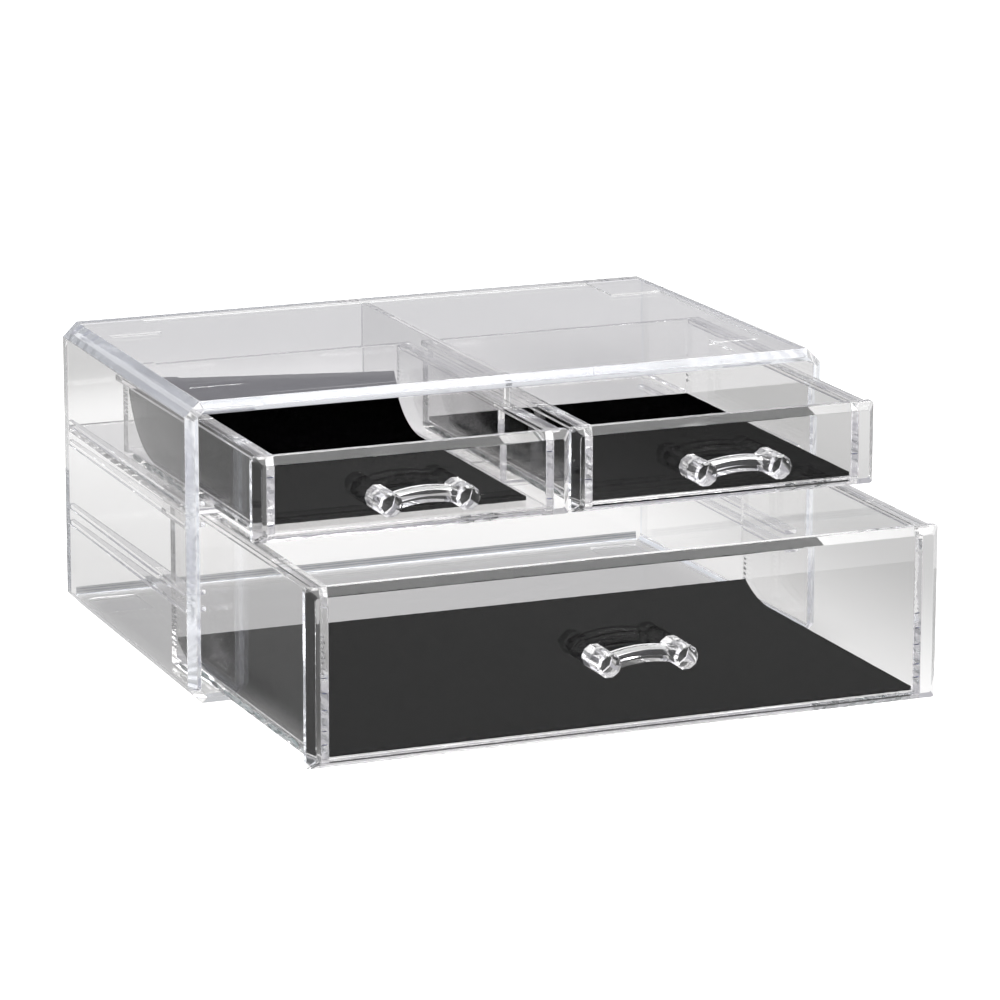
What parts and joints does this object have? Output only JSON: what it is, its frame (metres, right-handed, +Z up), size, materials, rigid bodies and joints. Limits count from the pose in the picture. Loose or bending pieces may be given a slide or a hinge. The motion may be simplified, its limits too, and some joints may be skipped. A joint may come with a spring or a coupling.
{
  "type": "acrylic makeup storage box",
  "caption": "Clear acrylic storage box for make-up and jewellery: a bevelled sleeve with a wide drawer below two small ones, each with a bridge handle and a felt liner.",
  "frame": {"origin": "middle of the case's flat underside", "axes": "+Z up, the drawers slide out along -Y, +X to the right of someone facing the front"},
  "size_m": [0.2408, 0.264, 0.107],
  "materials": {
    "clear_acrylic": "polished clear acrylic",
    "felt": "black needle felt"
  },
  "bodies": {
    "case": {"case_shell": "clear_acrylic", "shelf_board": "clear_acrylic", "centre_divider": "clear_acrylic"},
    "lower_drawer": {"lower_front_plate": "clear_acrylic", "lower_floor": "clear_acrylic", "lower_left_wall": "clear_acrylic", "lower_right_wall": "clear_acrylic", "lower_back_wall": "clear_acrylic", "lower_left_runner": "clear_acrylic", "lower_right_runner": "clear_acrylic", "lower_handle": "clear_acrylic", "lower_liner": "felt"},
    "upper_left_drawer": {"upper_left_front_plate": "clear_acrylic", "upper_left_floor": "clear_acrylic", "upper_left_left_wall": "clear_acrylic", "upper_left_right_wall": "clear_acrylic", "upper_left_back_wall": "clear_acrylic", "upper_left_left_runner": "clear_acrylic", "upper_left_right_runner": "clear_acrylic", "upper_left_handle": "clear_acrylic", "upper_left_liner": "felt"},
    "upper_right_drawer": {"upper_right_front_plate": "clear_acrylic", "upper_right_floor": "clear_acrylic", "upper_right_left_wall": "clear_acrylic", "upper_right_right_wall": "clear_acrylic", "upper_right_back_wall": "clear_acrylic", "upper_right_left_runner": "clear_acrylic", "upper_right_right_runner": "clear_acrylic", "upper_right_handle": "clear_acrylic", "upper_right_liner": "felt"}
  },
  "joints": [
    {"name": "lower_slide", "type": "slide", "parent": "case", "child": "lower_drawer", "axis": [0, -1, 0], "range_m": [-0.103, 0.007]},
    {"name": "upper_left_slide", "type": "slide", "parent": "case", "child": "upper_left_drawer", "axis": [0, -1, 0], "range_m": [-0.0532, 0.0568]},
    {"name": "upper_right_slide", "type": "slide", "parent": "case", "child": "upper_right_drawer", "axis": [0, -1, 0], "range_m": [-0.0528, 0.0572]}
  ]
}
